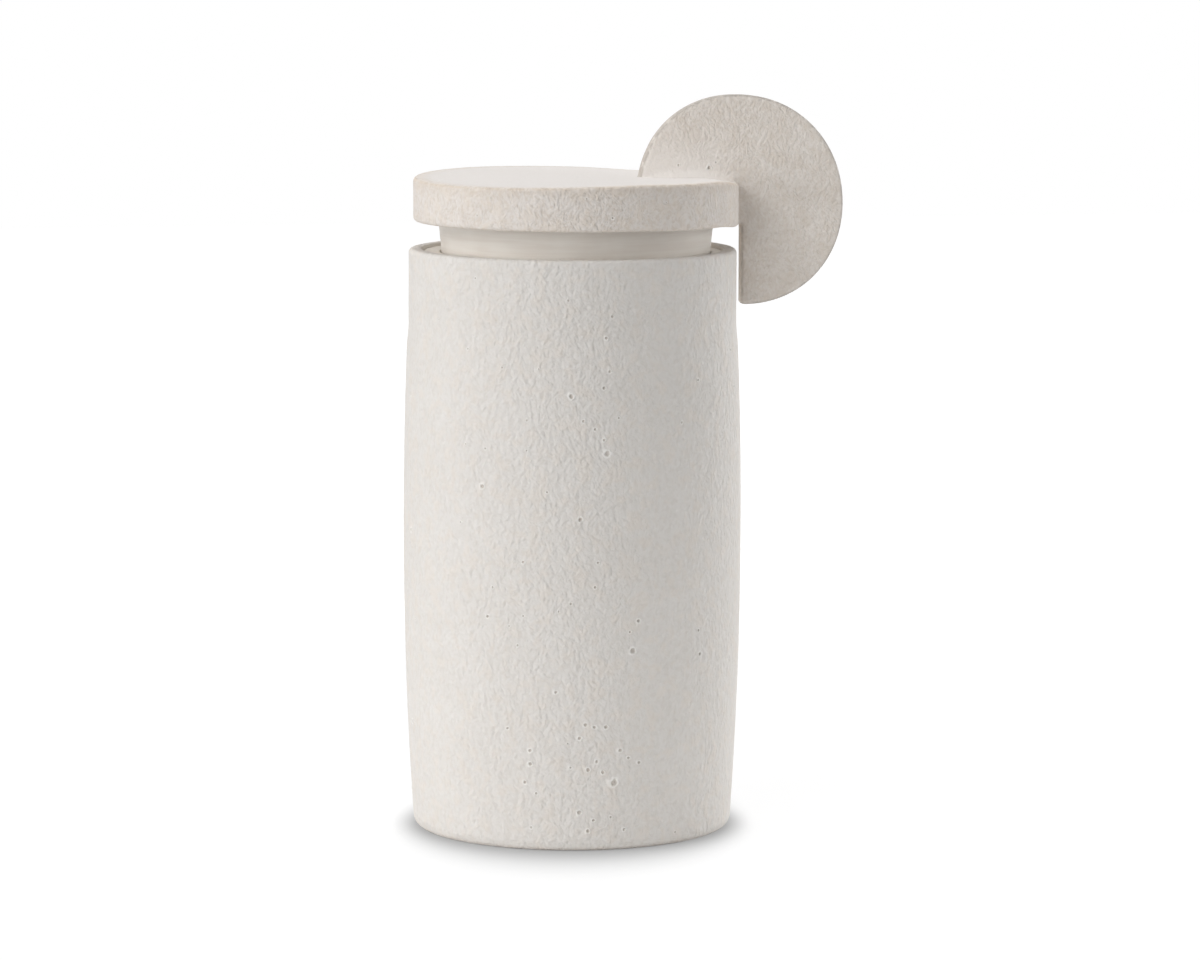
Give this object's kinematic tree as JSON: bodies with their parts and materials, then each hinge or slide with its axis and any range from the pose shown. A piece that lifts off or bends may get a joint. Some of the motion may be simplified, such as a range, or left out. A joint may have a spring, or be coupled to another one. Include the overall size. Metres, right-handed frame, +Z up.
{
  "type": "lidded ceramic jar",
  "caption": "Tall swollen cylindrical stoneware jar with a thick slab lid on a tapered plug, lifted by an upright disc handle at the lid's edge.",
  "frame": {"origin": "centre of the vessel's flat base, on the vessel's axis", "axes": "+Z up along the vessel's axis, +X from the axis towards the handle disc, which stands in the XZ plane"},
  "size_m": [0.1669, 0.127, 0.275],
  "materials": {
    "white_glaze": "matte warm white stoneware glaze, stippled like orange peel, with pinholes",
    "bare_clay": "smooth satin cream, with faint turning lines"
  },
  "bodies": {
    "vessel": {"vessel_wall": "white_glaze", "vessel_floor": "white_glaze", "seat_ring": "bare_clay", "neck_collar": "bare_clay"},
    "lid": {"lid_slab": "white_glaze", "lid_plug": "bare_clay", "handle_disc": "white_glaze"}
  },
  "joints": [
    {"name": "lid_lift", "type": "slide", "parent": "vessel", "child": "lid", "axis": [0, 0, 1], "range_m": [0, 0.06]}
  ]
}
